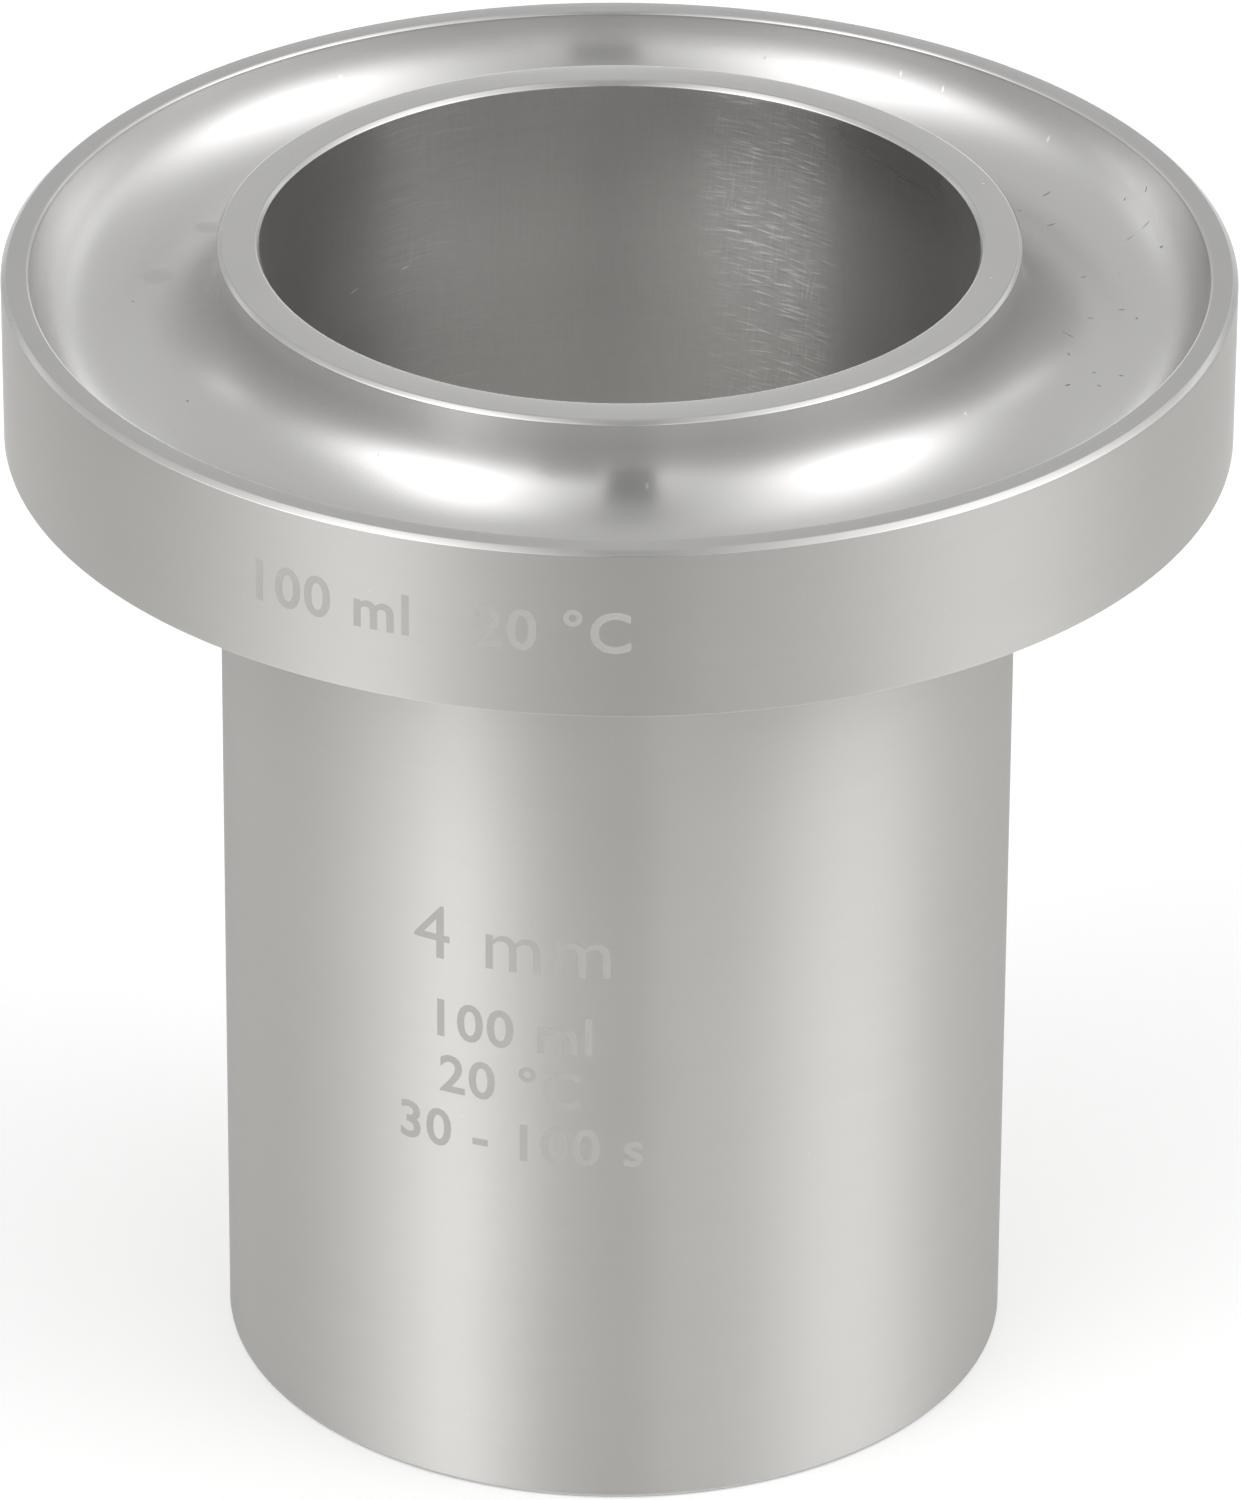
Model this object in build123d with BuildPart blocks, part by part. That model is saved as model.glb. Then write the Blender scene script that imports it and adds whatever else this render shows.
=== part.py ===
from build123d import *
from math import radians, sin, tan
import os

# Viscosity cup: a turned aluminium cup with an overflow gallery round its mouth and a
# pressed-in steel jet nozzle, which hangs inside the skirt that the cup stands on.
# Lengths are in millimetres. The axis is +Z, and the origin is the centre of the foot's plane.

# Measuring bore and the conical floor below it
bore_diameter = 50.0
bore_depth = 46.0
cone_angle = 120.0
wall_thickness = 3.0
floor_thickness = 3.0

# Jet nozzle: a headed bush, with the orifice through it
orifice_diameter = 4.0
orifice_length = 20.0
head_diameter = 12.0
head_depth = 4.0
shank_diameter = 9.0
tip_diameter = 6.0
tip_taper_length = 5.0
head_clearance = 0.02

# Skirt and the boss inside it. The tip stays clear of the bench that the foot stands on.
skirt_thickness = 3.0
tip_recess = 6.5
boss_diameter = 17.0
boss_length = 11.0

# Flange with the overflow gallery, between the raised inner lip and the rim
flange_diameter = 86.0
flange_thickness = 12.5
lip_rise = 2.0
rim_width = 2.0
gallery_depth = 6.0
gallery_corner_radius = 6.0

# Broken edges, and the bevel that the boring tool leaves at the top of the skirt
mouth_chamfer = 0.3
edge_chamfer = 0.35
foot_chamfer = 0.3
skirt_root_chamfer = 1.0
nozzle_chamfer = 0.4

# Radii that follow from the sizes above
bore_radius = bore_diameter / 2
body_radius = bore_radius + wall_thickness
skirt_inner_radius = body_radius - skirt_thickness
flange_radius = flange_diameter / 2
gallery_outer_radius = flange_radius - rim_width
inner_corner_radius = min(gallery_corner_radius, (gallery_outer_radius - body_radius) / 2)
outer_corner_radius = min(inner_corner_radius, gallery_depth - edge_chamfer)
boss_radius = boss_diameter / 2
orifice_radius = orifice_diameter / 2
head_radius = head_diameter / 2
seat_radius = head_radius + head_clearance
shank_radius = shank_diameter / 2
tip_radius = tip_diameter / 2

# Heights above the foot, worked out upwards from the nozzle's tip
half_cone_angle = radians(cone_angle / 2)
tip_bottom = tip_recess
orifice_top = tip_bottom + orifice_length
cone_top = orifice_top + (bore_radius - orifice_radius) / tan(half_cone_angle)
lip_top = cone_top + bore_depth
rim_top = lip_top - lip_rise
gallery_floor = rim_top - gallery_depth
flange_underside = rim_top - flange_thickness
seat_bottom = orifice_top - head_depth
boss_bottom = orifice_top - boss_length
floor_drop = floor_thickness / sin(half_cone_angle)


def cone_height(radius):
    """Height of the cup's conical floor at a radius."""
    return orifice_top + (radius - orifice_radius) / tan(half_cone_angle)


def corner(section, radius, height):
    """The corner of a half-section nearest to a radius and height."""
    return section.vertices().sort_by_distance((radius, height))[0]


# Cup body: one turning, made as one half-section swept round the axis
skirt_root = (skirt_inner_radius, cone_height(skirt_inner_radius) - floor_drop)
boss_root = (boss_radius, cone_height(boss_radius) - floor_drop)
body_outline = [
    (seat_radius, cone_height(seat_radius)),
    (bore_radius, cone_top),
    (bore_radius, lip_top),
    (body_radius, lip_top),
    (body_radius, gallery_floor),
    (gallery_outer_radius, gallery_floor),
    (gallery_outer_radius, rim_top),
    (flange_radius, rim_top),
    (flange_radius, flange_underside),
    (body_radius, flange_underside),
    (body_radius, 0),
    (skirt_inner_radius, 0),
    skirt_root,
    boss_root,
    (boss_radius, boss_bottom),
    (shank_radius, boss_bottom),
    (shank_radius, seat_bottom),
    (seat_radius, seat_bottom),
]

with BuildPart() as cup_body:
    with BuildSketch(Plane.XZ) as body_section:
        with BuildLine():
            Polyline(*body_outline, close=True)
        make_face()
        fillet(corner(body_section, body_radius, gallery_floor), inner_corner_radius)
        fillet(corner(body_section, gallery_outer_radius, gallery_floor), outer_corner_radius)
        chamfer(corner(body_section, *skirt_root), skirt_root_chamfer)
        chamfer(corner(body_section, bore_radius, lip_top), mouth_chamfer)
        chamfer(corner(body_section, body_radius, lip_top), edge_chamfer)
        chamfer(corner(body_section, gallery_outer_radius, rim_top), edge_chamfer)
        chamfer(corner(body_section, flange_radius, rim_top), edge_chamfer)
        chamfer(corner(body_section, flange_radius, flange_underside), edge_chamfer)
        chamfer(corner(body_section, body_radius, 0), foot_chamfer)
        chamfer(corner(body_section, skirt_inner_radius, 0), foot_chamfer)
        chamfer(corner(body_section, boss_radius, boss_bottom), foot_chamfer)
    revolve(axis=Axis.Z)
cup_body.part.label = "cup_body"

# Nozzle: pressed in from above until its head sits on the seat, flush with the floor
nozzle_outline = [
    (orifice_radius, orifice_top),
    (head_radius, cone_height(head_radius)),
    (head_radius, seat_bottom),
    (shank_radius, seat_bottom),
    (shank_radius, tip_bottom + tip_taper_length),
    (tip_radius, tip_bottom),
    (orifice_radius, tip_bottom),
]

with BuildPart() as nozzle:
    with BuildSketch(Plane.XZ) as nozzle_section:
        with BuildLine():
            Polyline(*nozzle_outline, close=True)
        make_face()
        chamfer(corner(nozzle_section, tip_radius, tip_bottom), nozzle_chamfer)
    revolve(axis=Axis.Z)
nozzle.part.label = "nozzle"

os.makedirs("parts", exist_ok=True)
for piece in (cup_body, nozzle):
    export_step(piece.part, f"parts/{piece.part.label}.step")
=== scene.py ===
# A viscosity cup on a pale studio floor: a turned aluminium cup with an overflow gallery round
# its mouth, and the steel jet nozzle that is pressed into its conical floor.
# Sizes are in millimetres until MM brings them to Blender's metres. Angles are in degrees.
# An angle round the cup starts at +X and turns towards +Y, which is the back.
from collections import namedtuple
from math import acos, cos, hypot, pi, radians, sin, tan

import bmesh
import bpy
from mathutils import Matrix, Vector


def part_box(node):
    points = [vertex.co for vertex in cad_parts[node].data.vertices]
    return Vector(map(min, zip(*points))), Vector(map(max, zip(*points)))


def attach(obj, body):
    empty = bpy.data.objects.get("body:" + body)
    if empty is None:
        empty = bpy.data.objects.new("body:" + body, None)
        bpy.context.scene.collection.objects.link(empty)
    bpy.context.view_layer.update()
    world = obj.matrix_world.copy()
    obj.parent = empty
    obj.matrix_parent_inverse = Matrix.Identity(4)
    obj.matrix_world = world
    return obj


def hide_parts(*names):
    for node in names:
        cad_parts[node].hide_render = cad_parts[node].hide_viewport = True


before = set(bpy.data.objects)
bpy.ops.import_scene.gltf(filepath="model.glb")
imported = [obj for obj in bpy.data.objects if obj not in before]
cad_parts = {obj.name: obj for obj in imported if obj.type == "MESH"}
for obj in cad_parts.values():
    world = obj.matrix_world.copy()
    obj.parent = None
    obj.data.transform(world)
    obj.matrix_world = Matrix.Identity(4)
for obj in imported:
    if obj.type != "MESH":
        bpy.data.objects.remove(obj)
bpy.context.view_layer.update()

MM = 0.001

# The cup's own sizes. What the frame knows is read from it.
cup_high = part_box("cup_body")[1]
nozzle_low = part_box("nozzle")[0]
FLANGE_RADIUS = cup_high.x / MM
LIP_TOP = cup_high.z / MM
NOZZLE_TIP = nozzle_low.z / MM
BORE_RADIUS = 25.0
BORE_DEPTH = 46.0
CONE_ANGLE = 120.0
WALL = 3.0
FLOOR_THICKNESS = 3.0
LIP_RISE = 2.0
RIM_WIDTH = 2.0
FLANGE_THICKNESS = 12.5
GALLERY_DEPTH = 6.0
GALLERY_INNER_CORNER = 6.0
GALLERY_OUTER_CORNER = 5.65
SKIRT_THICKNESS = 3.0
BOSS_RADIUS = 8.5
BOSS_LENGTH = 11.0
HEAD_RADIUS = 6.0
HEAD_DEPTH = 4.0
HEAD_CLEARANCE = 0.02
SHANK_RADIUS = 4.5
TIP_RADIUS = 3.0
TIP_TAPER = 5.0
ORIFICE_RADIUS = 2.0
ORIFICE_LENGTH = 20.0

# Broken edges: the bevels at the top, whose own corners are slightly rounded, and the rounds elsewhere
MOUTH_BEVEL = 0.3
EDGE_BEVEL = 0.4
LIP_BEVEL = 0.28
INNER_RIM_BEVEL = 0.18
BEVEL_ROUND = 0.2
UNDER_ROUND = 0.15
FOOT_ROUND = 0.3
ROOT_ROUND = 0.3
SKIRT_ROOT_ROUND = 1.5
FINE_ROUND = 0.12

# Thickness of the etched marks, half of it sunk. The flange's side stands back by it, so that its
# mark stays inside the cup's own size.
MARK_THICKNESS = 0.012

# Heights and radii that follow
BODY_RADIUS = BORE_RADIUS + WALL
SKIRT_INNER = BODY_RADIUS - SKIRT_THICKNESS
GALLERY_OUTER = FLANGE_RADIUS - RIM_WIDTH
FLANGE_SIDE = FLANGE_RADIUS - MARK_THICKNESS
RIM_TOP = LIP_TOP - LIP_RISE
GALLERY_FLOOR = RIM_TOP - GALLERY_DEPTH
FLANGE_UNDERSIDE = RIM_TOP - FLANGE_THICKNESS
CONE_TOP = LIP_TOP - BORE_DEPTH
ORIFICE_TOP = NOZZLE_TIP + ORIFICE_LENGTH
SEAT_RADIUS = HEAD_RADIUS + HEAD_CLEARANCE
SEAT_BOTTOM = ORIFICE_TOP - HEAD_DEPTH
BOSS_BOTTOM = ORIFICE_TOP - BOSS_LENGTH
FLOOR_DROP = FLOOR_THICKNESS / sin(radians(CONE_ANGLE / 2))


def cone_height(radius):
    """Height of the cup's conical floor at a radius."""
    return ORIFICE_TOP + (radius - ORIFICE_RADIUS) / tan(radians(CONE_ANGLE / 2))


def on_ring(radius, angle, height):
    """The point at a radius, angle and height, in metres."""
    return Vector((radius * cos(radians(angle)), radius * sin(radians(angle)), height)) * MM


# Sections

# The degrees between an arc's points, and its least number of steps
ARC_STEP = 9.0
LEAST_STEPS = 3


def rounded(outline):
    """A closed half-section from corners (radius, height, round), with an arc at each rounded corner."""
    points = []
    for place, (radius, height, rounding) in enumerate(outline):
        here = Vector((radius, height))
        if not rounding:
            points.append(here)
            continue
        before = (Vector(outline[place - 1][:2]) - here).normalized()
        after = (Vector(outline[(place + 1) % len(outline)][:2]) - here).normalized()
        half = acos(before.dot(after)) / 2
        centre = here + (before + after).normalized() * rounding / sin(half)
        start = here + before * rounding / tan(half) - centre
        turn = pi - 2 * half
        if start.cross(here - centre) < 0:
            turn = -turn
        steps = max(LEAST_STEPS, round(abs(turn) / radians(ARC_STEP)))
        for step in range(steps + 1):
            points.append(centre + Matrix.Rotation(turn * step / steps, 2) @ start)
    return points


def bevelled(radius, height, sideways, bevel):
    """The corners of a bevel at a top edge, on the wall and on the top. Sideways is 1 or -1, to the metal."""
    return (radius, height - bevel, BEVEL_ROUND), (radius + sideways * bevel, height, BEVEL_ROUND)


def cup_section():
    """The cup's half-section: bore, lip, gallery, flange, outer wall, foot, skirt and boss."""
    return rounded([
        (SEAT_RADIUS, cone_height(SEAT_RADIUS), 0),
        (BORE_RADIUS, CONE_TOP, ROOT_ROUND),
        *bevelled(BORE_RADIUS, LIP_TOP, 1, MOUTH_BEVEL),
        *reversed(bevelled(BODY_RADIUS, LIP_TOP, -1, LIP_BEVEL)),
        (BODY_RADIUS, GALLERY_FLOOR, GALLERY_INNER_CORNER),
        (GALLERY_OUTER, GALLERY_FLOOR, GALLERY_OUTER_CORNER),
        *bevelled(GALLERY_OUTER, RIM_TOP, 1, INNER_RIM_BEVEL),
        *reversed(bevelled(FLANGE_SIDE, RIM_TOP, -1, EDGE_BEVEL)),
        (FLANGE_SIDE, FLANGE_UNDERSIDE, UNDER_ROUND),
        (BODY_RADIUS, FLANGE_UNDERSIDE, ROOT_ROUND),
        (BODY_RADIUS, 0, FOOT_ROUND),
        (SKIRT_INNER, 0, FOOT_ROUND),
        (SKIRT_INNER, cone_height(SKIRT_INNER) - FLOOR_DROP, SKIRT_ROOT_ROUND),
        (BOSS_RADIUS, cone_height(BOSS_RADIUS) - FLOOR_DROP, ROOT_ROUND),
        (BOSS_RADIUS, BOSS_BOTTOM, FOOT_ROUND),
        (SHANK_RADIUS, BOSS_BOTTOM, FINE_ROUND),
        (SHANK_RADIUS, SEAT_BOTTOM, 0),
        (SEAT_RADIUS, SEAT_BOTTOM, 0),
    ])


def nozzle_section():
    """The nozzle's half-section: orifice, dished head, shank and tapered tip."""
    return rounded([
        (ORIFICE_RADIUS, ORIFICE_TOP, FINE_ROUND),
        (HEAD_RADIUS, cone_height(HEAD_RADIUS), 0),
        (HEAD_RADIUS, SEAT_BOTTOM, 0),
        (SHANK_RADIUS, SEAT_BOTTOM, 0),
        (SHANK_RADIUS, NOZZLE_TIP + TIP_TAPER, FOOT_ROUND),
        (TIP_RADIUS, NOZZLE_TIP, FOOT_ROUND),
        (ORIFICE_RADIUS, NOZZLE_TIP, FINE_ROUND),
    ])


# Shader maths: sums and products of a Value add the Math nodes

# How far the metal's reflection is dimmed where it is seen almost edge on
EDGE_TINT = 0.75
# The turn of the stretched highlights that lays the grain round the axis
GRAIN_TURN = 0.25
# The shares of a spot's size and of a dash's width that show in full
SPOT_CORE = 0.35
DASH_CORE = 0.5

# A place on a surface: its point, its radius, its turn round the axis as cosine and sine, and its height.
# For the room's light it is a direction, and the height is the sine of its rise.
Place = namedtuple("Place", "point radius turn_x turn_y height")


def grey(level):
    """A grey as a shader's colour."""
    return (level, level, level, 1)


class Value:
    """A number that changes over the surface."""

    def __init__(self, finish, socket):
        self.finish = finish
        self.socket = socket

    def maths(self, operation, *values):
        return self.finish.node("ShaderNodeMath", {"operation": operation}, dict(enumerate(values)))

    def __add__(self, other):
        return self.maths("ADD", self, other)

    def __radd__(self, other):
        return self.maths("ADD", other, self)

    def __sub__(self, other):
        return self.maths("SUBTRACT", self, other)

    def __rsub__(self, other):
        return self.maths("SUBTRACT", other, self)

    def __mul__(self, other):
        return self.maths("MULTIPLY", self, other)

    def __rmul__(self, other):
        return self.maths("MULTIPLY", other, self)

    def __truediv__(self, other):
        return self.maths("DIVIDE", self, other)

    def greater(self, other):
        """The larger of two values."""
        return self.maths("MAXIMUM", self, other)

    def exponential(self):
        """e to the power of the value."""
        return self.maths("EXPONENT", self)


class Finish:
    """A surface's finish, or the room's light: a new material or world whose nodes are added one by one."""

    def __init__(self, owner):
        self.owner = owner
        owner.use_nodes = True
        self.tree = owner.node_tree
        self.tree.nodes.clear()

    def node(self, kind, settings=None, sockets=None, output=0):
        """Adds a node with its settings and then its sockets' values or links, and gives one output."""
        made = self.tree.nodes.new(kind)
        for name, setting in (settings or {}).items():
            setattr(made, name, setting)
        for name, value in (sockets or {}).items():
            if isinstance(value, Value):
                self.tree.links.new(value.socket, made.inputs[name])
            else:
                made.inputs[name].default_value = value
        return Value(self, made.outputs[output] if made.outputs else None)

    def vector(self, x, y, z):
        return self.node("ShaderNodeCombineXYZ", None, {"X": x, "Y": y, "Z": z})

    def lies(self, coordinates="Object"):
        """The Place that is being shaded."""
        point = self.node("ShaderNodeTexCoord", None, None, coordinates)
        axes = [self.node("ShaderNodeSeparateXYZ", None, {"Vector": point}, axis) for axis in "XYZ"]
        flat = self.vector(axes[0], axes[1], 0.0)
        radius = self.node("ShaderNodeVectorMath", {"operation": "LENGTH"}, {0: flat}, "Value")
        return Place(point, radius, axes[0] / radius, axes[1] / radius, axes[2])

    def noise(self, vector, scale, detail, seed=0.0):
        """Soft noise from 0 to 1, about 0.5."""
        return self.node("ShaderNodeTexNoise", {"noise_dimensions": "4D"}, {
            "Vector": vector, "W": seed, "Scale": scale, "Detail": detail})

    def step(self, value, low, high, start=0.0, end=1.0):
        """A smooth step from start to end as the value goes from low to high."""
        return self.node("ShaderNodeMapRange", {"interpolation_type": "SMOOTHSTEP"}, {
            "Value": value, "From Min": low, "From Max": high, "To Min": start, "To Max": end})

    def spot(self, point, centre, size):
        """A soft round spot: 1 at its centre and 0 from its size outwards."""
        away = self.node("ShaderNodeVectorMath", {"operation": "DISTANCE"}, {0: point, 1: centre}, "Value")
        return self.step(away, SPOT_CORE * size, size, 1.0, 0.0)

    def dash(self, point, centre, along, width):
        """A soft dash: 1 on its line and 0 past its width. It tapers to its ends, which are along away."""
        offset = self.node("ShaderNodeVectorMath", {"operation": "SUBTRACT"}, {0: point, 1: centre})
        course = self.node("ShaderNodeVectorMath", {"operation": "DOT_PRODUCT"}, {
            0: offset, 1: along / along.length_squared}, "Value")
        line = self.node("ShaderNodeVectorMath", {"operation": "SCALE"}, {0: along, "Scale": course})
        side = self.node("ShaderNodeVectorMath", {"operation": "DISTANCE"}, {0: offset, 1: line}, "Value")
        return self.step(side / width + course * course, DASH_CORE, 1.0, 1.0, 0.0)

    def tinted(self, colour, tone):
        """The colour brightened or darkened by a value about 1."""
        return self.node("ShaderNodeVectorMath", {"operation": "SCALE"}, {0: colour, "Scale": tone})

    def metal(self, colour, tone, roughness, anisotropy, relief, edge_tint=EDGE_TINT):
        """Bare metal. The relief is a height in metres, and the grain runs round the axis."""
        normal = self.node("ShaderNodeBump", None, {"Strength": 1.0, "Distance": 1.0, "Height": relief})
        surface = self.node("ShaderNodeBsdfPrincipled", None, {
            "Base Color": self.tinted(colour, tone), "Metallic": 1.0, "Roughness": roughness,
            "Anisotropic": anisotropy, "Anisotropic Rotation": GRAIN_TURN, "Normal": normal,
            "Specular Tint": grey(edge_tint)})
        return self.shows(surface)

    def shows(self, surface):
        """Ends the material with its surface, and gives the material."""
        self.node("ShaderNodeOutputMaterial", None, {"Surface": surface})
        return self.owner


# Finishes

ALUMINIUM = (0.628, 0.618, 0.598)
BRIGHT_ALUMINIUM = (0.626, 0.62, 0.613)
BORED_ALUMINIUM = (0.627, 0.619, 0.608)
STEEL = (0.56, 0.545, 0.52)
# The turning lines' pitch, and how often they fade in and out along the way round
LINE_PITCH = 0.13
BREAKS_ROUND = 2.2
# The share of a random speck's size that shows in full
SPECK_CORE = 0.3

# Nicks in the gallery, at places worked out from the photograph: angle, radius, length and slant from
# the radius. The specks and smudges after them are placed in the same way.
NICK_WIDTH = 0.07
NICKS = (
    (36.3, 37.8, 0.76, -13), (31.1, 35.8, 0.96, -5), (23.8, 40.7, 0.2, 5), (26.4, 40.0, 0.2, -31),
    (17.4, 34.3, 0.53, 8), (8.3, 35.6, 0.59, -7), (6.4, 33.2, 0.56, -6), (-0.1, 31.3, 1.18, -13),
    (-8.1, 33.3, 0.37, -1), (-8.2, 35.2, 0.45, -9), (-13.2, 31.9, 0.72, 61), (-11.2, 33.9, 0.43, -13),
    (16.0, 39.7, 0.37, -60), (5.7, 36.4, 0.32, -48), (36.1, 35.3, 0.39, -25), (-5.4, 31.4, 0.39, -58),
    (170.7, 34.6, 0.31, 12), (-160.2, 31.6, 0.36, -64),
)
# Specks in the gallery, painted bright as glints: angle, radius and size
GLINT_SPECKS = (
    (40.6, 40.35, 0.16), (55.1, 40.6, 0.12), (60.2, 40.7, 0.1), (120.0, 40.5, 0.11), (-34.9, 28.9, 0.1),
    (-65.9, 28.8, 0.1), (-86.1, 28.6, 0.12),
)
# Dull smudges in the gallery: angle, radius and size
SMUDGES = ((163.8, 34.0, 1.6), (149.5, 34.0, 1.3))


def grain(finish, here, pitch, seed=0.0):
    """The tool's fine lines, which run round the axis and fade in and out."""
    travel = (here.height - here.radius) * (1 / (pitch * MM))
    course = finish.vector(here.turn_x * BREAKS_ROUND, here.turn_y * BREAKS_ROUND, travel)
    return finish.noise(course, scale=1.0, detail=2.0, seed=seed)


def specks(finish, here, pitch, share, size):
    """Tiny round specks at random: one place in each cell of the pitch, and a share of the cells uses it."""
    angle = finish.node("ShaderNodeMath", {"operation": "ARCTAN2"}, {0: here.turn_y, 1: here.turn_x})
    unrolled = finish.vector(angle * here.radius, here.height - here.radius, 0.0)
    sockets = {"Vector": unrolled, "Scale": 1 / (pitch * MM)}
    settings = {"voronoi_dimensions": "2D"}
    away = finish.node("ShaderNodeTexVoronoi", settings, sockets, "Distance")
    chance = finish.node("ShaderNodeTexVoronoi", settings, sockets, "Color")
    drawn = finish.node("ShaderNodeSeparateXYZ", None, {"Vector": chance}, "X")
    speck = finish.step(away, SPECK_CORE * size / pitch, size / pitch, 1.0, 0.0)
    return speck * finish.step(drawn, 0.9 * share, share, 1.0, 0.0)


def spots(finish, point, places):
    """Soft spots in the gallery at places of angle, radius and size."""
    shown = 0.0
    for angle, away, size in places:
        shown = finish.spot(point, on_ring(away, angle, 0), size * MM).greater(shown)
    return shown


def satin(name, roughness, tone, edge_tint):
    """The fine-turned outside: even satin with hardly visible lines, faint clouds and a few specks."""
    finish = Finish(bpy.data.materials.new(name))
    here = finish.lies()
    lines = grain(finish, here, LINE_PITCH)
    bands = grain(finish, here, 9 * LINE_PITCH, seed=3.0)
    clouds = finish.noise(here.point, scale=90.0, detail=3.0, seed=5.0)
    dots = specks(finish, here, pitch=5.0, share=0.15, size=0.12)
    tone = tone * (0.955 + 0.03 * lines + 0.03 * bands + 0.03 * clouds) + 0.12 * dots
    rough = roughness + 0.05 * (clouds - 0.5) + 0.04 * (lines - 0.5) + 0.15 * dots
    relief = lines * (0.0006 * MM) + bands * (0.0008 * MM)
    return finish.metal(ALUMINIUM, tone, rough, anisotropy=1.0, relief=relief, edge_tint=edge_tint)


def polished():
    """The gallery: polished, with nicks, specks painted bright as glints, and dull smudges."""
    finish = Finish(bpy.data.materials.new("polished_gallery"))
    here = finish.lies()
    lines = grain(finish, here, LINE_PITCH, seed=7.0)
    clouds = finish.noise(here.point, scale=110.0, detail=3.0, seed=9.0)
    flat = finish.node("ShaderNodeVectorMath", {"operation": "MULTIPLY"}, {0: here.point, 1: (1.0, 1.0, 0.0)})
    nicks = 0.0
    for angle, away, length, slant in NICKS:
        along = on_ring(length / 2, angle + slant, 0)
        nicks = finish.dash(flat, on_ring(away, angle, 0), along, NICK_WIDTH * MM).greater(nicks)
    # The specks' mask: their brightness is a painted glint in the colour
    bright = spots(finish, flat, GLINT_SPECKS)
    dull = spots(finish, flat, SMUDGES)
    pits = specks(finish, here, pitch=3.5, share=0.16, size=0.09)
    tone = 0.98 + 0.01 * lines + 0.03 * clouds - 0.06 * dull * clouds
    # The nicks and pits darken the colour, and the specks' painted glints brighten it
    tone = tone - 0.55 * nicks - 0.25 * pits + 0.4 * bright
    rough = 0.245 + 0.02 * (clouds - 0.5) + 0.01 * (lines - 0.5) + 0.1 * dull + 0.2 * nicks
    relief = lines * (0.0001 * MM) - nicks * (0.02 * MM) - pits * (0.01 * MM)
    return finish.metal(BRIGHT_ALUMINIUM, tone, rough, anisotropy=0.95, relief=relief, edge_tint=1.0)


def faced():
    """The lip's and the rim's flat tops, faced fine, with a few pits. The rim's is duller."""
    finish = Finish(bpy.data.materials.new("faced_lands"))
    here = finish.lies()
    lines = grain(finish, here, LINE_PITCH, seed=11.0)
    clouds = finish.noise(here.point, scale=160.0, detail=3.0, seed=13.0)
    pits = specks(finish, here, pitch=3.0, share=0.2, size=0.1)
    duller = finish.step(here.radius, BODY_RADIUS * MM, GALLERY_OUTER * MM)
    tone = 0.93 - 0.1 * duller + 0.03 * lines + 0.04 * clouds - 0.3 * pits
    rough = 0.21 + 0.04 * (clouds - 0.5) + 0.02 * (lines - 0.5)
    relief = lines * (0.0002 * MM) - pits * (0.01 * MM)
    return finish.metal(BRIGHT_ALUMINIUM, tone, rough, anisotropy=0.6, relief=relief)


def burnished():
    """The broken edges, bright from the tool and from use."""
    finish = Finish(bpy.data.materials.new("burnished_edges"))
    clouds = finish.noise(finish.lies().point, scale=400.0, detail=3.0, seed=15.0)
    tone = 0.84 + 0.1 * clouds
    rough = 0.24 + 0.04 * (clouds - 0.5)
    return finish.metal(BRIGHT_ALUMINIUM, tone, rough, anisotropy=0.3, relief=clouds * (0.002 * MM))


# The bore's brushed patches: middle angle, half width and strength. A patch fades in between two shares
# of its half width.
BRUSHED = ((64.5, 9.5, 1.0), (124.0, 9.0, 0.35))
PATCH_FADE = (1.6, 0.4)
# The strokes in them: slant from the way round, and strength
STROKES = ((-7.0, 1.0), (4.0, 0.9), (84.0, 0.35))
STROKE_LENGTH = 2.6
STROKE_WIDTH = 0.18
# Where the strokes' noise is bright, and where it is dark
BRIGHT_STROKES = (0.56, 0.74)
DARK_STROKES = (0.4, 0.22)
# How clouds thin the strokes out: the range of the clouds, and the share of the strokes at each end of it
THINNING = (0.35, 0.6, 0.3, 1.0)
# Scratches in the bore, painted bright as glints: angle, height below the lip, length and slant from the way
# round
GLINTING_SCRATCHES = ((127.8, 12.3, 0.9, 8.0), (139.1, 12.5, 1.2, 12.0))
SCRATCH_WIDTH = 0.1
# How far below the mouth the bore is darker
SHADED_DEPTH = 14.0
# Its darkest place, at the mouth too: middle angle, half width, depth, and strength beside the rest's
DARKEST = (50.0, 40.0, 8.0, 0.7)
# The shares of that half width and depth that are fully dark
DARKEST_CORE = (0.25, 0.1)


def facing(here, angle):
    """The cosine of the angle round the axis between a Place and an angle."""
    return here.turn_x * cos(radians(angle)) + here.turn_y * sin(radians(angle))


def brush_strokes(finish, here):
    """Short strokes that cross each other, from dark below 0 to bright above it."""
    across = facing(here, BRUSHED[0][0] - 90) * (BORE_RADIUS * MM)
    strokes = 0.0
    for seed, (slant, strength) in enumerate(STROKES):
        run = across * cos(radians(slant)) + here.height * sin(radians(slant))
        rise = here.height * cos(radians(slant)) - across * sin(radians(slant))
        where = finish.vector(run * (1 / (STROKE_LENGTH * MM)), rise * (1 / (STROKE_WIDTH * MM)), 0.0)
        drawn = finish.noise(where, scale=1.0, detail=1.0, seed=30.0 + seed)
        lit = finish.step(drawn, *BRIGHT_STROKES) - 0.5 * finish.step(drawn, *DARK_STROKES)
        strokes = strokes + lit * strength
    return strokes


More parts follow.
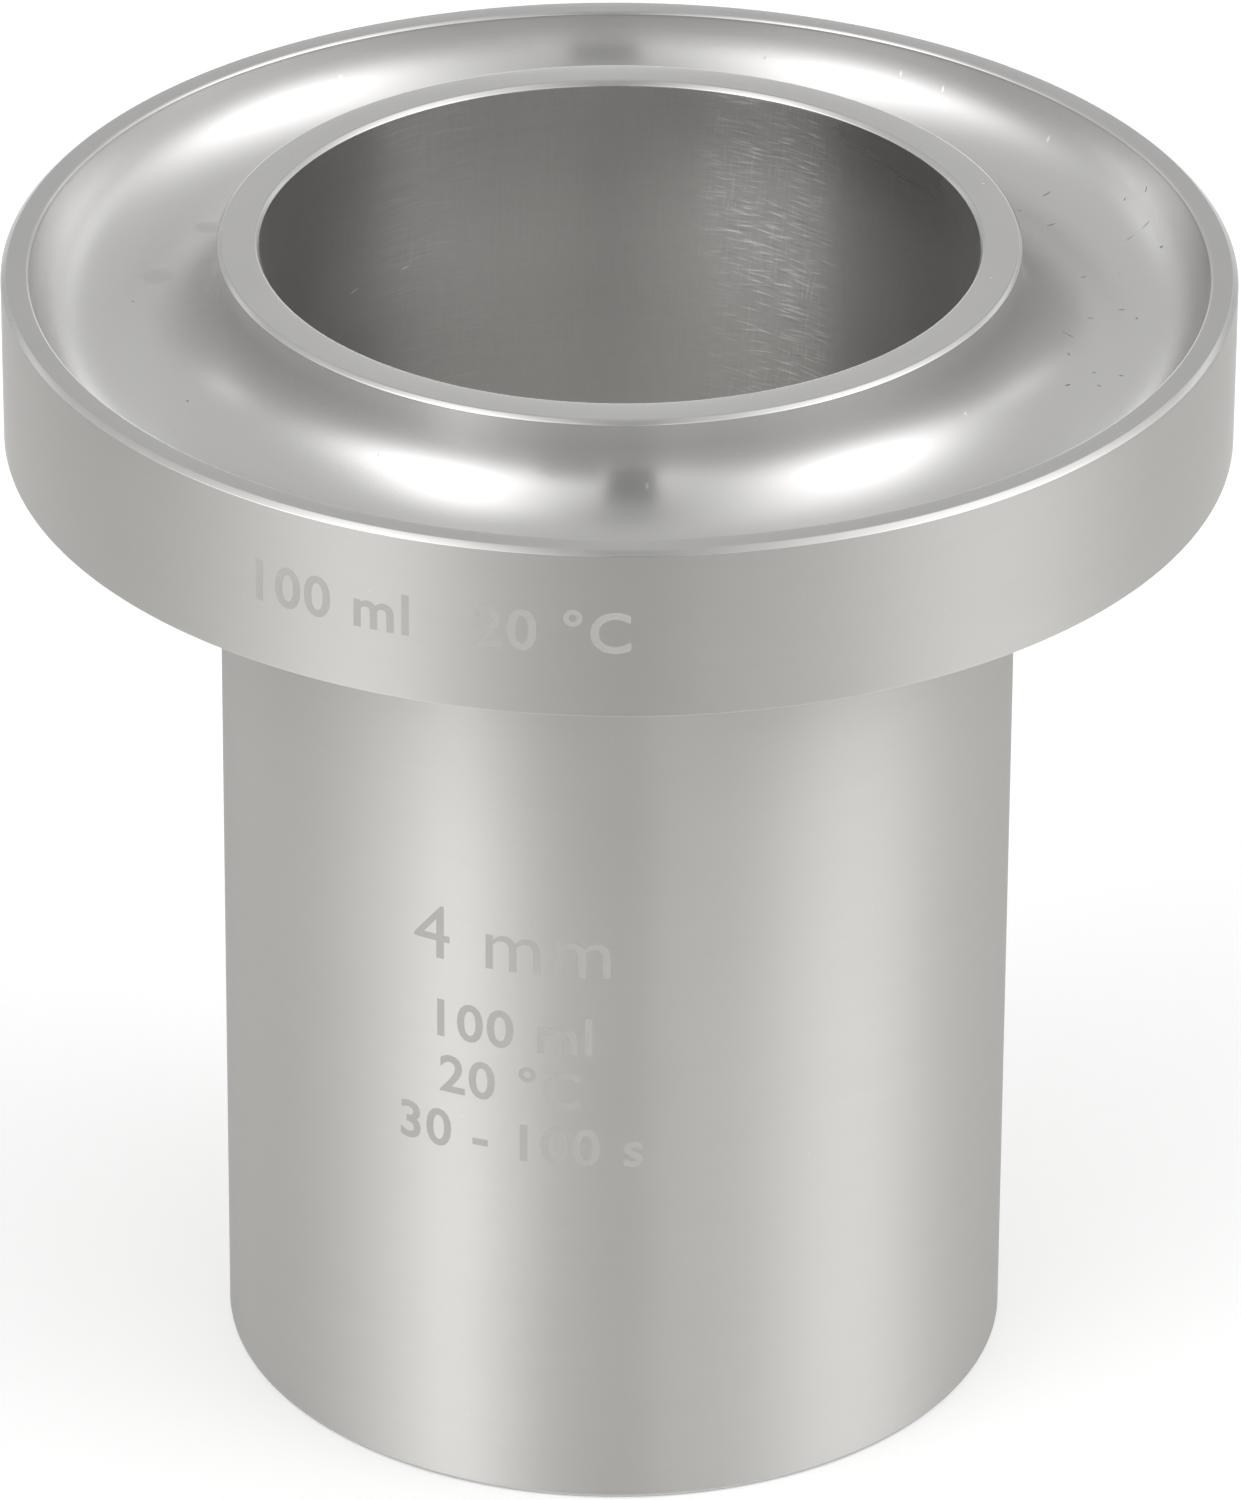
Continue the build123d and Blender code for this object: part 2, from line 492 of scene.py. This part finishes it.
def bored():
    """The bore and the conical floor: dull, with brushed patches, two scratches painted bright as glints, and
    a darker mouth.
    """
    finish = Finish(bpy.data.materials.new("bored_inside"))
    here = finish.lies()
    lines = grain(finish, here, LINE_PITCH, seed=17.0)
    bands = grain(finish, here, 6 * LINE_PITCH, seed=19.0)
    upright = finish.vector(here.turn_x * 160.0, here.turn_y * 160.0, here.height * 300.0)
    level = finish.vector(here.turn_x * 20.0, here.turn_y * 20.0, here.height * 5000.0)
    warp = finish.noise(upright, scale=1.0, detail=2.0, seed=23.0)
    weft = finish.noise(level, scale=1.0, detail=2.0, seed=25.0)
    clouds = finish.noise(here.point, scale=70.0, detail=3.0, seed=21.0)
    patches = 0.0
    for angle, half, strength in BRUSHED:
        edge, full = [cos(radians(share * half)) for share in PATCH_FADE]
        patches = (finish.step(facing(here, angle), edge, full) * strength).greater(patches)
    strokes = brush_strokes(finish, here) * (patches * finish.step(clouds, *THINNING))
    # The scratches' mask: their brightness is a painted glint in the colour
    bright = 0.0
    for angle, below, length, slant in GLINTING_SCRATCHES:
        tangent = Vector((sin(radians(angle)), -cos(radians(angle)), 0)) * cos(radians(slant))
        along = (tangent + Vector((0, 0, sin(radians(slant))))) * (length / 2 * MM)
        middle = on_ring(BORE_RADIUS, angle, LIP_TOP - below)
        bright = finish.dash(here.point, middle, along, SCRATCH_WIDTH * MM).greater(bright)
    angle, half, deep, strength = DARKEST
    wide, tall = DARKEST_CORE
    darkest = finish.step(facing(here, angle), cos(radians(half)), cos(radians(wide * half)))
    darkest = darkest * finish.step(here.height, (LIP_TOP - deep) * MM, (LIP_TOP - tall * deep) * MM)
    shaded = finish.step(here.height, (LIP_TOP - SHADED_DEPTH) * MM, LIP_TOP * MM) + strength * darkest
    tone = 1.08 + 0.04 * lines + 0.04 * bands + 0.03 * clouds + 0.1 * (warp + weft - 1.0)
    # The scratches' painted glints brighten the colour here
    tone = tone + 0.4 * strokes + 0.03 * patches + 0.6 * bright - 0.24 * shaded
    rough = 0.335 + 0.03 * (clouds - 0.5) + 0.02 * (lines - 0.5)
    rough = rough + 0.02 * patches + 0.05 * strokes - 0.04 * shaded
    relief = lines * (0.0008 * MM) + bands * (0.001 * MM) + strokes * (0.005 * MM)
    return finish.metal(BORED_ALUMINIUM, tone, rough, anisotropy=0.7, relief=relief, edge_tint=1.0)


def nozzle_steel():
    """The nozzle's steel, ground fine."""
    finish = Finish(bpy.data.materials.new("nozzle_steel"))
    here = finish.lies()
    lines = grain(finish, here, LINE_PITCH, seed=41.0)
    clouds = finish.noise(here.point, scale=300.0, detail=3.0, seed=43.0)
    tone = 0.94 + 0.05 * lines + 0.06 * clouds
    rough = 0.22 + 0.08 * (clouds - 0.5) + 0.05 * (lines - 0.5)
    return finish.metal(STEEL, tone, rough, anisotropy=0.6, relief=lines * (0.0006 * MM))


def frosted():
    """The etched marks: frosted by the etching, with no grain."""
    finish = Finish(bpy.data.materials.new("frosted_marks"))
    point = finish.lies().point
    grit = finish.noise(point, scale=9000.0, detail=2.0, seed=51.0)
    clouds = finish.noise(point, scale=400.0, detail=2.0, seed=53.0)
    tone = 0.74 + 0.08 * (grit - 0.5) + 0.1 * (clouds - 0.5)
    rough = 0.62 + 0.1 * (grit - 0.5)
    return finish.metal(ALUMINIUM, tone, rough, anisotropy=0.0, relief=grit * (0.002 * MM))


# Turning: a Geometry Nodes tree that sweeps a half-section round the axis

TURN_STEPS = 384
SHARP_ANGLE = 30.0


def turning_tree():
    """The tree with the inputs Section, Path radius, Steps round and Metal."""
    tree = bpy.data.node_groups.new("turning", "GeometryNodeTree")
    sockets = tree.interface
    sockets.new_socket("Section", in_out="INPUT", socket_type="NodeSocketGeometry")
    sockets.new_socket("Path radius", in_out="INPUT", socket_type="NodeSocketFloat")
    sockets.new_socket("Steps round", in_out="INPUT", socket_type="NodeSocketInt")
    sockets.new_socket("Metal", in_out="INPUT", socket_type="NodeSocketMaterial")
    sockets.new_socket("Turned piece", in_out="OUTPUT", socket_type="NodeSocketGeometry")

    def node(kind, settings=None, **sources):
        made = tree.nodes.new(kind)
        for name, setting in (settings or {}).items():
            setattr(made, name, setting)
        for name, source in sources.items():
            tree.links.new(source, made.inputs[name.replace("_", " ")])
        return made

    given = node("NodeGroupInput").outputs
    # The section is drawn as (radius, 0, height). Along a path, a section's X points outwards
    # from the path and its Y down the axis.
    place = node("ShaderNodeSeparateXYZ", Vector=node("GeometryNodeInputPosition").outputs[0])
    outwards = node("ShaderNodeMath", {"operation": "SUBTRACT"})
    tree.links.new(place.outputs["X"], outwards.inputs[0])
    tree.links.new(given["Path radius"], outwards.inputs[1])
    down = node("ShaderNodeMath", {"operation": "MULTIPLY"})
    tree.links.new(place.outputs["Z"], down.inputs[0])
    down.inputs[1].default_value = -1.0
    stood = node("ShaderNodeCombineXYZ", X=outwards.outputs[0], Y=down.outputs[0])
    section = node("GeometryNodeSetPosition", Geometry=given["Section"], Position=stood.outputs[0])
    steps = given["Steps round"]
    path = node("GeometryNodeCurvePrimitiveCircle", Resolution=steps, Radius=given["Path radius"])
    swept = node("GeometryNodeCurveToMesh", Curve=path.outputs["Curve"], Profile_Curve=section.outputs[0])
    real = node("GeometryNodeRealizeInstances", Geometry=swept.outputs[0])
    metal = node("GeometryNodeSetMaterial", Geometry=real.outputs[0], Material=given["Metal"])
    tree.links.new(metal.outputs[0], node("NodeGroupOutput").inputs[0])
    return tree


def plain_mesh(piece, name):
    """The evaluated piece as a new object with a plain mesh and no modifiers."""
    settled = piece.evaluated_get(bpy.context.evaluated_depsgraph_get())
    made = bpy.data.objects.new(name, bpy.data.meshes.new_from_object(settled))
    bpy.context.scene.collection.objects.link(made)
    bpy.data.objects.remove(piece)
    return made


def turned(name, section, metal):
    """A piece turned from a half-section given as (radius, height) points."""
    curve = bpy.data.curves.new(name + "_section", "CURVE")
    curve.dimensions = "3D"
    line = curve.splines.new("POLY")
    line.points.add(len(section) - 1)
    for point, (radius, height) in zip(line.points, section):
        point.co = (radius * MM, 0, height * MM, 1)
    line.use_cyclic_u = True
    drawn = bpy.data.objects.new(name + "_section", curve)
    bpy.context.scene.collection.objects.link(drawn)
    turning = drawn.modifiers.new("turning", "NODES")
    turning.node_group = turning_tree()
    values = {"Path radius": SEAT_RADIUS * MM, "Steps round": TURN_STEPS, "Metal": metal}
    for socket in turning.node_group.interface.items_tree:
        if socket.name in values:
            turning[socket.identifier] = values[socket.name]
    piece = plain_mesh(drawn, name)
    shape = bmesh.new()
    shape.from_mesh(piece.data)
    bmesh.ops.recalc_face_normals(shape, faces=shape.faces)
    shape.to_mesh(piece.data)
    shape.free()
    piece.data.shade_smooth()
    piece.data.set_sharp_from_angle(angle=radians(SHARP_ANGLE))
    return piece


# The cup and its nozzle

WALL_FINISH, FLANGE_FINISH, GALLERY_FINISH, LAND_FINISH, BORE_FINISH, EDGE_FINISH = range(6)
BROKEN_EDGES = (
    (BORE_RADIUS, LIP_TOP), (BODY_RADIUS, LIP_TOP), (GALLERY_OUTER, RIM_TOP), (FLANGE_SIDE, RIM_TOP),
    (BODY_RADIUS, 0),
)


def cup_finish(radius, height):
    """Which of the cup's finishes shows at a radius and height."""
    if any(hypot(radius - edge[0], height - edge[1]) < EDGE_BEVEL for edge in BROKEN_EDGES):
        return EDGE_FINISH
    slack = 0.4 * EDGE_BEVEL
    if radius < BORE_RADIUS + slack and height > cone_height(radius) - slack:
        return BORE_FINISH
    if height > LIP_TOP - slack:
        return LAND_FINISH
    if height > RIM_TOP - slack and radius > GALLERY_OUTER + slack:
        return LAND_FINISH
    if height > GALLERY_FLOOR - slack and BODY_RADIUS - slack < radius < GALLERY_OUTER + slack:
        return GALLERY_FINISH
    if radius > BODY_RADIUS + slack:
        return FLANGE_FINISH
    return WALL_FINISH


def make_cup():
    """The cup, with its finishes in the order of the finish numbers."""
    wall = satin("satin_wall", roughness=0.5, tone=1.005, edge_tint=0.52)
    flange = satin("satin_flange", roughness=0.58, tone=0.98, edge_tint=1.0)
    cup = turned("cup", cup_section(), wall)
    for metal in (flange, polished(), faced(), bored(), burnished()):
        cup.data.materials.append(metal)
    for face in cup.data.polygons:
        face.material_index = cup_finish(hypot(face.center.x, face.center.y) / MM, face.center.z / MM)
    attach(cup, "root")
    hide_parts("cup_body")


def make_nozzle():
    """The steel nozzle in its seat."""
    nozzle = turned("jet_nozzle", nozzle_section(), nozzle_steel())
    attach(nozzle, "root")
    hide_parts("nozzle")


# Etched marks: plain sizes and units, wrapped round the wall

# The words are cut into upright strips, so that they can bend with the wall
STRIP = 0.4
# How much bolder than the typeface the marks are, as a share of the letters' size
LETTER_BOLD = 0.018
LETTER_SPACING = 1.08
# The straight steps of a letter's curve
LETTER_STEPS = 4
# A capital's height as a share of the letters' size
CAPITAL_SHARE = 0.73
# Points closer together than this become one
WELD = 1e-5
# Name, words, capitals' height, boldness, middle angle, wall's radius and depth below the rim
MARKS = (
    ("flange_mark", "100 ml   20 °C", 3.1, LETTER_BOLD, -107.0, FLANGE_SIDE, 6.3),
    ("orifice_mark", "4 mm", 4.4, 0.0, -105.0, BODY_RADIUS, 39.5),
    ("volume_mark", "100 ml", 3.0, LETTER_BOLD, -105.3, BODY_RADIUS, 46.2),
    ("temperature_mark", "20 °C", 3.0, LETTER_BOLD, -105.3, BODY_RADIUS, 50.6),
    ("time_mark", "30 - 100 s", 3.0, LETTER_BOLD, -104.2, BODY_RADIUS, 55.1),
)


def etched(name, words, capital, bold, middle, radius, height, metal):
    """Words in raised metal, half sunk in the wall of a radius, with their middle at an angle and height."""
    text = bpy.data.curves.new(name, "FONT")
    text.body = words
    text.size = capital / CAPITAL_SHARE
    text.align_x = "CENTER"
    text.align_y = "CENTER"
    text.extrude = MARK_THICKNESS / 2
    text.offset = bold * text.size
    text.resolution_u = LETTER_STEPS
    text.space_character = LETTER_SPACING
    drawn = bpy.data.objects.new(name + "_words", text)
    bpy.context.scene.collection.objects.link(drawn)
    piece = plain_mesh(drawn, name)
    shape = bmesh.new()
    shape.from_mesh(piece.data)
    bmesh.ops.remove_doubles(shape, verts=shape.verts, dist=WELD)
    half = max(abs(point.co.x) for point in shape.verts)
    cuts = int(half / STRIP)
    for cut in range(-cuts, cuts + 1):
        everything = list(shape.verts) + list(shape.edges) + list(shape.faces)
        bmesh.ops.bisect_plane(shape, geom=everything, plane_co=(cut * STRIP, 0, 0), plane_no=(1, 0, 0))
    for point in shape.verts:
        turn = middle + point.co.x / radius * 180 / pi
        point.co = on_ring(radius + point.co.z, turn, height + point.co.y)
    bmesh.ops.recalc_face_normals(shape, faces=shape.faces)
    shape.to_mesh(piece.data)
    shape.free()
    piece.data.materials.clear()
    piece.data.materials.append(metal)
    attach(piece, "root")


def make_marks():
    """The marks on the flange and on the body."""
    metal = frosted()
    for name, words, capital, bold, middle, radius, below in MARKS:
        etched(name, words, capital, bold, middle, radius, RIM_TOP - below, metal)


# The room: camera, floor, dark cards and light

# The camera, as the photograph's circles place it
CAMERA_ELEVATION = 28.85
CAMERA_ROLL = 0.33
CAMERA_DISTANCE = 797.3
FOCAL_PIXELS = 11473.7
PHOTO_HEIGHT = 1500
RIM_CENTRE_RIGHT = -0.06
RIM_CENTRE_UP = 33.85
SENSOR = 36.0
# What the camera sees lies between these, in metres
NEAREST = 0.05
FARTHEST = 20.0


def photo_camera():
    """The camera that sees the cup as the photograph does."""
    roll = radians(CAMERA_ROLL)
    elevation = radians(CAMERA_ELEVATION)
    right = Vector((cos(roll), sin(elevation) * sin(roll), cos(elevation) * sin(roll)))
    ahead = Vector((0, cos(elevation), -sin(elevation)))
    up = right.cross(ahead)
    stand = Vector((0, 0, RIM_TOP)) - ahead * CAMERA_DISTANCE - right * RIM_CENTRE_RIGHT - up * RIM_CENTRE_UP
    data = bpy.data.cameras.new("camera")
    data.sensor_width = SENSOR
    data.lens = FOCAL_PIXELS * SENSOR / PHOTO_HEIGHT
    data.clip_start = NEAREST
    data.clip_end = FARTHEST
    camera = bpy.data.objects.new("camera", data)
    turn = Matrix((right, up, -ahead)).transposed().to_4x4()
    camera.matrix_world = Matrix.Translation(stand * MM) @ turn
    bpy.context.scene.collection.objects.link(camera)
    bpy.context.scene.camera = camera


# Half the floor's width, in metres
FLOOR_HALF = 3.0
FLOOR_COLOUR = 0.85
FLOOR_GLOW = 0.2


def flat_plate(name, half_wide, half_tall):
    """A flat rectangle about the origin, facing up."""
    mesh = bpy.data.meshes.new(name)
    corners = [(-1, -1), (1, -1), (1, 1), (-1, 1)]
    mesh.from_pydata([(x * half_wide, y * half_tall, 0) for x, y in corners], [], [(0, 1, 2, 3)])
    return bpy.data.objects.new(name, mesh)


def make_floor():
    """A pale floor. A little of its white is its own glow, for the camera and the metal that mirrors it."""
    floor = flat_plate("floor", FLOOR_HALF, FLOOR_HALF)
    bpy.context.scene.collection.objects.link(floor)
    finish = Finish(bpy.data.materials.new("pale_floor"))
    paint = finish.node("ShaderNodeBsdfDiffuse", None, {"Color": grey(FLOOR_COLOUR)})
    seen = 0.0
    for ray in ("Is Camera Ray", "Is Glossy Ray", "Is Transmission Ray"):
        seen = finish.node("ShaderNodeLightPath", None, None, ray).greater(seen)
    glow = finish.node("ShaderNodeEmission", None, {"Strength": seen * FLOOR_GLOW})
    both = finish.node("ShaderNodeAddShader", None, {0: paint, 1: glow})
    floor.data.materials.append(finish.shows(both))


# The room's light, as the cup sees it: an even level, and wide soft glows on it. Each glow has its middle's
# angle round the cup and rise above the floor, its spread sideways and upwards, and its brightness. The
# negative one takes light away. A fit to the photograph's reflections gave these numbers.
ROOM_LEVEL = 0.721
GLOWS = (
    (-19.5, 23.9, 28.6, 12.2, 2.37),
    (-15.0, 45.1, 34.8, 20.6, 1.04),
    (219.5, 24.7, 30.3, 11.0, 3.08),
    (217.4, 49.8, 27.5, 11.7, 1.58),
    (226.6, 1.9, 10.0, 3.5, 5.2),
    (-80.0, 8.0, 17.0, 12.0, 0.84),
    (-87.0, 62.0, 20.0, 12.0, -0.3),
    (39.0, 15.6, 25.2, 3.5, 0.85),
    (143.8, 15.3, 13.0, 3.5, 0.69),
    (89.0, 3.8, 14.5, 7.1, 4.0),
)
# Dark cards in front of the cup, which the polished metal mirrors as a dark patch: name, angle round the cup,
# rise, the angles that they span sideways and upwards, and colour. Their distance is in metres.
CARD_DISTANCE = 1.0
CARDS = (
    ("dark_card", -86.5, 30.5, 14.0, 37.0, 0.3),
    ("low_dark_card", -103.0, 14.0, 16.0, 13.0, 0.35),
)


def card(name, angle, rise, wide, tall, colour):
    """A matt card that faces the cup's foot, out of the camera's sight."""
    turn, lift = radians(angle), radians(rise)
    towards = Vector((cos(turn) * cos(lift), sin(turn) * cos(lift), sin(lift)))
    half_wide = CARD_DISTANCE * cos(lift) * tan(radians(wide / 2))
    half_tall = CARD_DISTANCE * tan(radians(tall / 2))
    plate = flat_plate(name, half_wide, half_tall)
    facing_foot = towards.to_track_quat("Z", "Y").to_matrix().to_4x4()
    plate.matrix_world = Matrix.Translation(towards * CARD_DISTANCE) @ facing_foot
    plate.visible_camera = False
    bpy.context.scene.collection.objects.link(plate)
    finish = Finish(bpy.data.materials.new(name))
    paint = finish.node("ShaderNodeBsdfDiffuse", None, {"Color": grey(colour)})
    plate.data.materials.append(finish.shows(paint))


def make_room():
    """The room's light, which comes from all round: a world with its glows."""
    room = Finish(bpy.data.worlds.new("room"))
    here = room.lies("Generated")
    rise = room.node("ShaderNodeMath", {"operation": "ARCSINE"}, {0: here.height}) * (180 / pi)
    light = ROOM_LEVEL
    for angle, middle, wide, tall, brightness in GLOWS:
        aside = (1.0 - facing(here, angle)) / (1 - cos(radians(wide)))
        above = (rise - middle) / tall
        light = light + brightness * (0.0 - aside - above * above).exponential()
    shown = room.node("ShaderNodeBackground", None, {"Color": grey(1), "Strength": light})
    room.node("ShaderNodeOutputWorld", None, {"Surface": shown})
    bpy.context.scene.world = room.owner


make_cup()
make_nozzle()
make_marks()
make_floor()
photo_camera()
for dark_card in CARDS:
    card(*dark_card)
make_room()
bpy.context.scene.view_settings.view_transform = "Standard"
